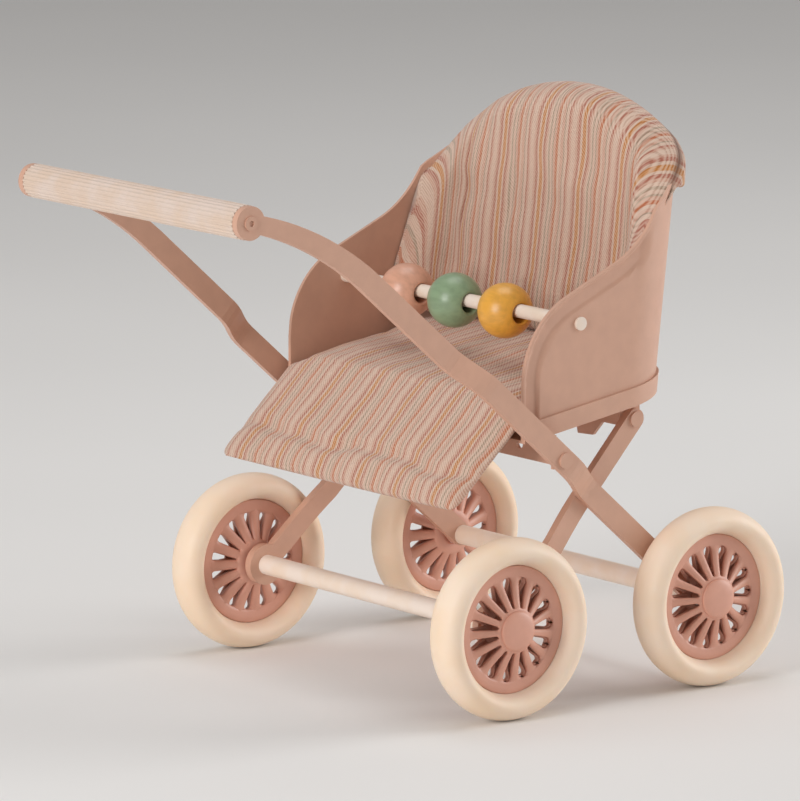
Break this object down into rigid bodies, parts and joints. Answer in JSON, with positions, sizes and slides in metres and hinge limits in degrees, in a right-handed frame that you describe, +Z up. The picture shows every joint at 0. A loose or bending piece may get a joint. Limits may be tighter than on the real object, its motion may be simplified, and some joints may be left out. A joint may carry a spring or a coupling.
{
  "type": "doll stroller",
  "caption": "Doll stroller: pressed steel frame on slotted wheels with a bent push handle, and a seat tub with a bead bar and a striped hooded cushion.",
  "frame": {"origin": "on the ground, under the middle of the stroller's bounding box", "axes": "+X to the right of the person who pushes, -Y the pushing end with the handle, +Y the seat's back, +Z up"},
  "size_m": [0.101, 0.14, 0.1259],
  "materials": {
    "pink_steel": "satin dusty pink paint",
    "pink_plastic": "satin dusty pink",
    "cream_plastic": "satin cream",
    "cream_wood": "painted cream, satin",
    "axle_steel": "plain",
    "striped_cloth": "woven stripes of cream, pink, terracotta and ochre",
    "cream_tyre": "smooth cream, satin",
    "pink_wood": "painted pink, satin",
    "green_wood": "painted green, satin",
    "mustard_wood": "painted mustard, satin"
  },
  "bodies": {
    "frame": {"seat_tub": "pink_steel", "seat_tray": "pink_steel", "front_crossbar": "pink_steel", "rear_crossbar": "pink_steel", "arm_left": "pink_steel", "arm_right": "pink_steel", "leg_left": "pink_steel", "leg_right": "pink_steel", "arm_rivets": "pink_steel", "leg_rivets": "pink_steel", "crossing_rivets": "pink_steel", "handle_grip": "cream_plastic", "handle_screws": "pink_steel", "play_bar": "cream_wood", "play_bar_caps": "cream_wood", "front_axle": "axle_steel", "rear_axle": "axle_steel", "front_sleeve": "cream_plastic", "rear_sleeve": "cream_plastic", "axle_clips": "axle_steel", "cushion_seat": "striped_cloth", "cushion_flap": "striped_cloth", "cushion_back": "striped_cloth", "cushion_hood": "striped_cloth"},
    "front_left_wheel": {"front_left_tyre": "cream_tyre", "front_left_outer_disc": "pink_plastic", "front_left_inner_disc": "pink_plastic", "front_left_hub": "pink_plastic", "front_left_hub_cap": "pink_plastic"},
    "front_right_wheel": {"front_right_tyre": "cream_tyre", "front_right_outer_disc": "pink_plastic", "front_right_inner_disc": "pink_plastic", "front_right_hub": "pink_plastic", "front_right_hub_cap": "pink_plastic"},
    "rear_left_wheel": {"rear_left_tyre": "cream_tyre", "rear_left_outer_disc": "pink_plastic", "rear_left_inner_disc": "pink_plastic", "rear_left_hub": "pink_plastic", "rear_left_hub_cap": "pink_plastic"},
    "rear_right_wheel": {"rear_right_tyre": "cream_tyre", "rear_right_outer_disc": "pink_plastic", "rear_right_inner_disc": "pink_plastic", "rear_right_hub": "pink_plastic", "rear_right_hub_cap": "pink_plastic"},
    "bead_pink_body": {"bead_pink": "pink_wood"},
    "bead_green_body": {"bead_green": "green_wood"},
    "bead_mustard_body": {"bead_mustard": "mustard_wood"}
  },
  "joints": [
    {"name": "front_left_spin", "type": "hinge", "parent": "frame", "child": "front_left_wheel", "pos_m": [-0.046, -0.00453, 0.0195], "axis": [1, 0, 0], "continuous": true},
    {"name": "front_right_spin", "type": "hinge", "parent": "frame", "child": "front_right_wheel", "pos_m": [0.046, -0.00453, 0.0195], "axis": [1, 0, 0], "continuous": true},
    {"name": "rear_left_spin", "type": "hinge", "parent": "frame", "child": "rear_left_wheel", "pos_m": [-0.046, 0.05047, 0.0195], "axis": [1, 0, 0], "continuous": true},
    {"name": "rear_right_spin", "type": "hinge", "parent": "frame", "child": "rear_right_wheel", "pos_m": [0.046, 0.05047, 0.0195], "axis": [1, 0, 0], "continuous": true},
    {"name": "bead_pink_slide", "type": "slide", "parent": "frame", "child": "bead_pink_body", "axis": [1, 0, 0], "range_m": [-0.0158, 0.0022]},
    {"name": "bead_green_slide", "type": "slide", "parent": "frame", "child": "bead_green_body", "axis": [1, 0, 0], "range_m": [-0.0023, 0.0026]},
    {"name": "bead_mustard_slide", "type": "slide", "parent": "frame", "child": "bead_mustard_body", "axis": [1, 0, 0], "range_m": [-0.0026, 0.0183]}
  ]
}
